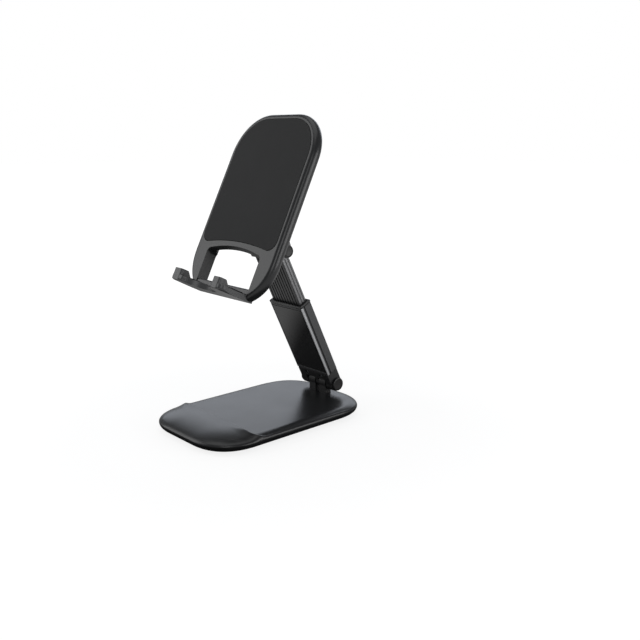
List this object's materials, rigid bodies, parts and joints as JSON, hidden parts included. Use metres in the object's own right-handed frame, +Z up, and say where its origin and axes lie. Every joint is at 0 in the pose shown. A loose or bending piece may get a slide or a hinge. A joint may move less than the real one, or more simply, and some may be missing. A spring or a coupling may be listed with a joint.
{
  "type": "phone stand",
  "caption": "Folding phone stand: pillow-edged base, hinged telescopic arm, and a padded phone plate with a window and a two-hook fold-out ledge.",
  "frame": {"origin": "centre of the base's underside, on the surface it stands on", "axes": "+Z up, -Y towards the user, +X to the user's right"},
  "size_m": [0.072, 0.1106, 0.1695],
  "materials": {
    "satin": "satin black, finely textured",
    "dark": "matt dark grey",
    "panel": "smooth, half-gloss black",
    "trim": "bright satin edge",
    "rubber": "matt, soft to the touch",
    "steel": "plain steel",
    "weight": "pressed sheet steel",
    "nylon": "matt black nylon",
    "zinc": "dark grey coated die casting"
  },
  "bodies": {
    "base": {"base_shell": "satin", "bottom_cover": "dark", "base_weight": "weight", "rubber_foot": "rubber", "cover_screw_1": "steel", "cover_screw_2": "steel", "cover_screw_3": "steel", "cover_screw_4": "steel", "hinge_bracket": "satin", "bracket_screw_left": "steel", "bracket_screw_right": "steel", "friction_washer_left": "nylon", "friction_washer_right": "nylon"},
    "arm": {"arm_foot": "satin", "foot_screw_left": "steel", "foot_screw_right": "steel", "lower_hinge_pin": "steel", "lower_pivot_cap_left": "dark", "lower_pivot_cap_right": "dark", "arm_sleeve": "satin", "sleeve_front_panel": "panel", "sleeve_trim_left": "trim", "sleeve_trim_right": "trim", "sleeve_collar": "trim"},
    "slider": {"slider_bar": "satin", "slide_brake": "nylon", "slider_head": "zinc", "slider_screw_left": "steel", "slider_screw_right": "steel"},
    "link": {"link_left": "zinc", "link_right": "zinc", "upper_pivot_cap_left": "dark", "upper_pivot_cap_right": "dark", "upper_shaft": "steel"},
    "plate": {"plate_shell": "satin", "plate_pad": "rubber", "back_cover_left": "dark", "back_cover_right": "dark", "back_screw_left_1": "steel", "back_screw_left_2": "steel", "back_screw_right_1": "steel", "back_screw_right_2": "steel", "tilt_ear_left": "zinc", "tilt_ear_right": "zinc", "ear_screw_left_1": "steel", "ear_screw_left_2": "steel", "ear_screw_right_1": "steel", "ear_screw_right_2": "steel", "tilt_pin_left": "steel", "tilt_pin_right": "steel", "ledge_pin_left": "steel", "ledge_pin_right": "steel"},
    "ledge": {"ledge_flap": "satin", "ledge_grip_left": "rubber", "ledge_grip_right": "rubber"}
  },
  "joints": [
    {"name": "arm_fold", "type": "hinge", "parent": "base", "child": "arm", "pos_m": [0, 0.0475, 0.0136], "axis": [1, 0, 0], "range_deg": [-15, 64.26]},
    {"name": "arm_slide", "type": "slide", "parent": "arm", "child": "slider", "axis": [0, -0.4343, 0.9008], "range_m": [-0.022, 0.004]},
    {"name": "link_fold", "type": "hinge", "parent": "slider", "child": "link", "pos_m": [0, 0.00689, 0.09782], "axis": [1, 0, 0], "range_deg": [-175.89, 41.52]},
    {"name": "plate_fold", "type": "hinge", "parent": "link", "child": "plate", "pos_m": [0, 0.0002, 0.11524], "axis": [1, 0, 0], "range_deg": [-11.75, 48.36]},
    {"name": "ledge_fold", "type": "hinge", "parent": "plate", "child": "ledge", "pos_m": [0, -0.02357, 0.07783], "axis": [-1, 0, 0], "range_deg": [0, 90]}
  ],
  "couplings": [
    {"joint": "link_fold", "follows": "arm_fold", "ratio": -2.7278},
    {"joint": "plate_fold", "follows": "arm_fold", "ratio": 0.74323}
  ]
}
